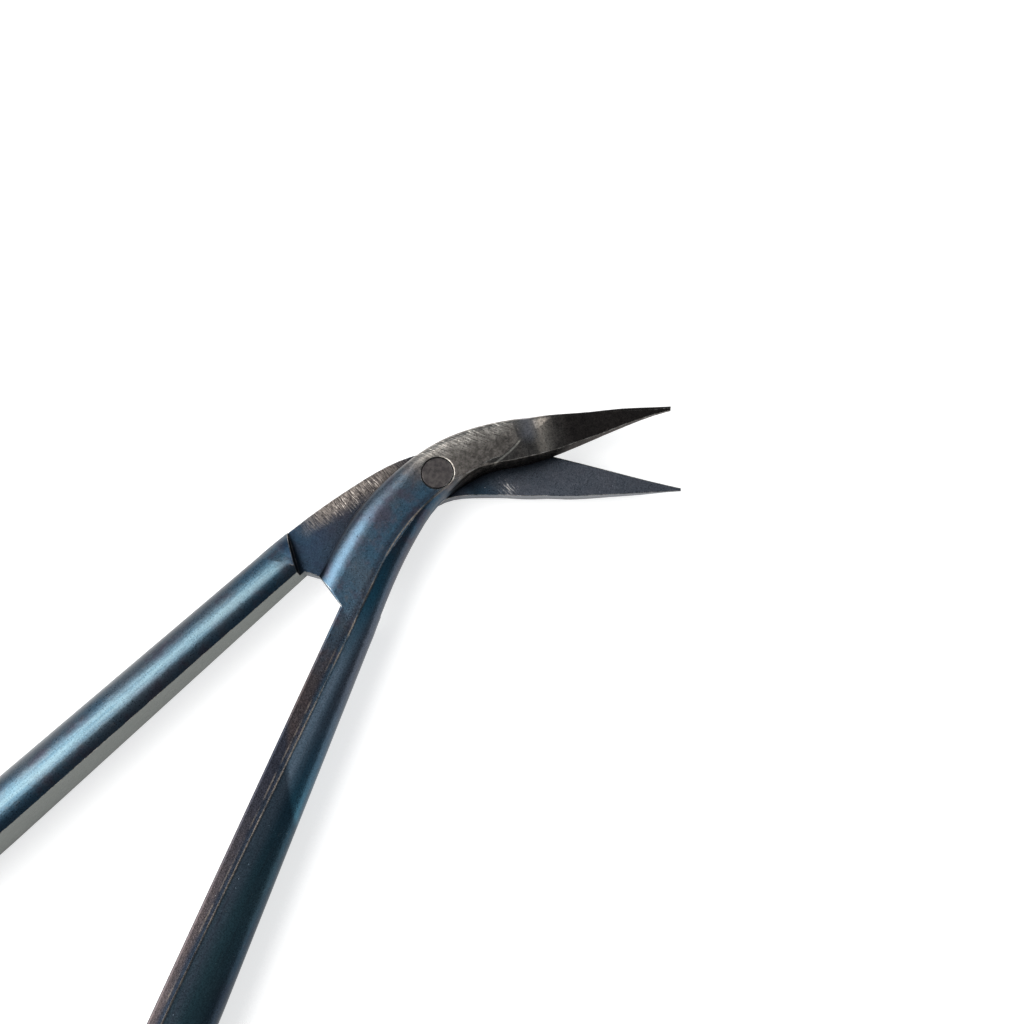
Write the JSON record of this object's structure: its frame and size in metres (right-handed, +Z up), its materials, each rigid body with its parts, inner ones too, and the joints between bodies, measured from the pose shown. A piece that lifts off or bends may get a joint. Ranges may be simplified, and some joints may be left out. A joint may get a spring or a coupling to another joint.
{
  "type": "angled fabric scissors",
  "caption": "Angled fine scissors for trimming fabric, with a lap joint, finger-ring handles, bent pointed blades and a flush pivot screw, lying part open.",
  "frame": {"origin": "middle of the table area that the part-open scissors cover, on the table", "axes": "+Z up from the table towards the front half's outer face; +X forward along the line midway between the shanks, from the finger rings to the joint; the blades bend towards -Y"},
  "size_m": [0.1309, 0.0956, 0.0066],
  "materials": {
    "blued_steel": "worn blue-black heat colour",
    "screw_steel": "dull dark brown-grey oxide"
  },
  "bodies": {
    "back": {"back_half": "blued_steel"},
    "front": {"front_half": "blued_steel", "pivot_screw": "screw_steel"}
  },
  "joints": [
    {"name": "pivot", "type": "hinge", "parent": "back", "child": "front", "pos_m": [0.0441, -0.0026, 0.0033], "axis": [0, 0, 1], "range_deg": [-20, 40]}
  ]
}
